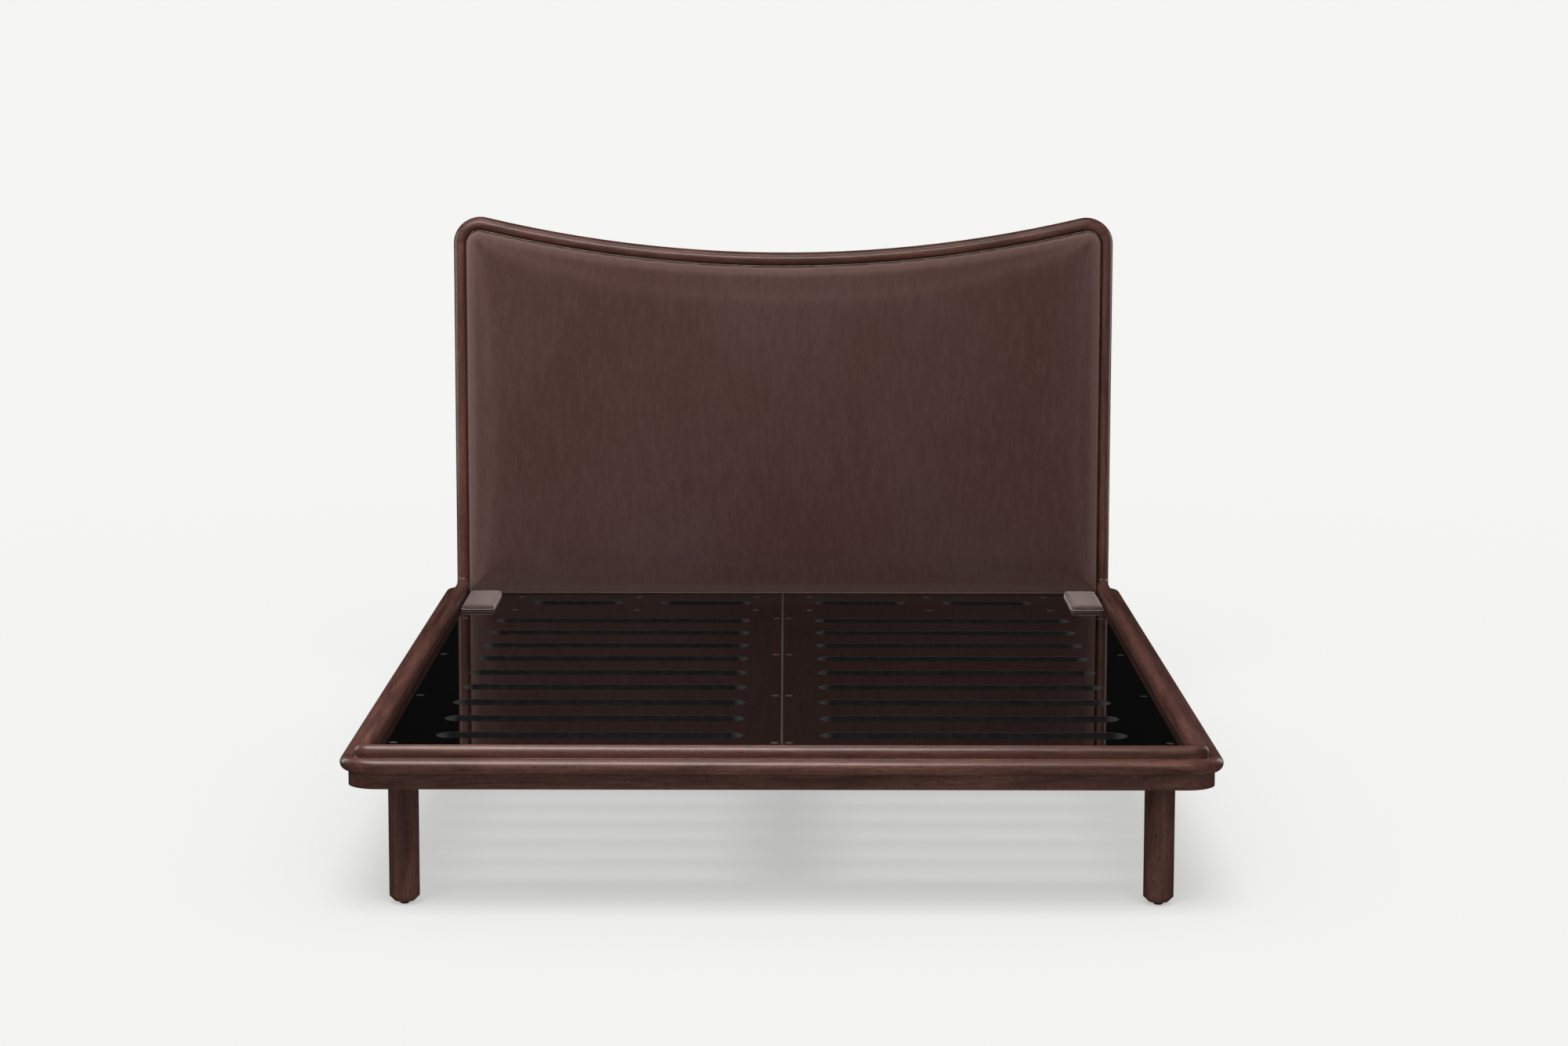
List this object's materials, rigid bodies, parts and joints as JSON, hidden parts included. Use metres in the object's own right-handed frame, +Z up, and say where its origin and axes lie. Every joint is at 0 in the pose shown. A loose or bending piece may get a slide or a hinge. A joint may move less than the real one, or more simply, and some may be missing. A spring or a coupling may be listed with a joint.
{
  "type": "platform bed with upholstered headboard",
  "caption": "Low platform bed in dark walnut: rounded lip and raised bead round the mattress recess, slotted glossy deck, round legs, velvet headboard with a dipped crest.",
  "frame": {"origin": "on the floor, under the middle of the platform's outline", "axes": "+Z up, +Y towards the head end, +X to the right seen from the foot end"},
  "size_m": [1.67, 2.188, 1.2153],
  "materials": {
    "walnut": "satin oiled dark walnut",
    "walnut_veneer": "satin dark walnut veneer",
    "beech": "unfinished",
    "birch_plywood": "unfinished",
    "foam": "open-cell foam",
    "velvet": "short pile velvet, taupe brown",
    "pale_velvet": "short pile velvet, light taupe",
    "dark_lacquer": "high gloss dark brown lacquer",
    "stained_batten": "dark stain",
    "dark_steel": "black satin",
    "zinc_steel": "zinc plated",
    "nickel_steel": "nickel plated, satin",
    "brass_insert": "plain",
    "glide_nylon": "dark brown nylon"
  },
  "bodies": {
    "bed": {"foot_rail": "walnut", "side_rail_left": "walnut", "side_rail_right": "walnut", "head_rail": "walnut", "foot_corner_left": "walnut", "foot_corner_right": "walnut", "head_corner_left": "walnut", "head_corner_right": "walnut", "foot_bead": "walnut", "side_bead_left": "walnut", "side_bead_right": "walnut", "corner_dowels": "beech", "headboard_post_left": "walnut", "headboard_post_right": "walnut", "headboard_corner_left": "walnut", "headboard_corner_right": "walnut", "crest_rail": "walnut", "headboard_bottom_rail": "beech", "headboard_middle_rail": "beech", "headboard_dowels": "beech", "headboard_back_panel": "walnut_veneer", "back_panel_screws": "dark_steel", "headboard_pad_board": "birch_plywood", "headboard_foam": "foam", "headboard_cover": "velvet", "pad_screws": "zinc_steel", "headboard_bolts": "zinc_steel", "bracket_left": "dark_steel", "bracket_right": "dark_steel", "bracket_screws": "zinc_steel", "bracket_foams": "foam", "bracket_cover_left": "pale_velvet", "bracket_cover_right": "pale_velvet", "deck_left": "dark_lacquer", "deck_right": "dark_lacquer", "deck_bolts": "nickel_steel", "deck_bolt_inserts": "brass_insert", "side_cleat_left": "stained_batten", "side_cleat_right": "stained_batten", "foot_cleat": "stained_batten", "cross_rail_front": "stained_batten", "cross_rail_rear": "stained_batten", "centre_beams": "stained_batten", "cleat_screws": "zinc_steel", "angle_brackets": "zinc_steel", "leg_blocks": "stained_batten", "leg_block_bolts": "zinc_steel", "leg_inserts": "brass_insert", "leg_bolts": "zinc_steel", "glide_inserts": "brass_insert", "leg_foot_left": "walnut", "leg_foot_right": "walnut", "leg_head_left": "walnut", "leg_head_right": "walnut", "centre_leg": "walnut"},
    "glide_foot_left_body": {"glide_foot_left": "glide_nylon"},
    "glide_foot_right_body": {"glide_foot_right": "glide_nylon"},
    "glide_head_left_body": {"glide_head_left": "glide_nylon"},
    "glide_head_right_body": {"glide_head_right": "glide_nylon"},
    "glide_centre_body": {"glide_centre": "glide_nylon"}
  },
  "joints": [
    {"name": "glide_foot_left_screw", "type": "slide", "parent": "bed", "child": "glide_foot_left_body", "axis": [0, 0, -1], "range_m": [0, 0.012]},
    {"name": "glide_foot_right_screw", "type": "slide", "parent": "bed", "child": "glide_foot_right_body", "axis": [0, 0, -1], "range_m": [0, 0.012]},
    {"name": "glide_head_left_screw", "type": "slide", "parent": "bed", "child": "glide_head_left_body", "axis": [0, 0, -1], "range_m": [0, 0.012]},
    {"name": "glide_head_right_screw", "type": "slide", "parent": "bed", "child": "glide_head_right_body", "axis": [0, 0, -1], "range_m": [0, 0.012]},
    {"name": "glide_centre_screw", "type": "slide", "parent": "bed", "child": "glide_centre_body", "axis": [0, 0, -1], "range_m": [0, 0.012]}
  ]
}
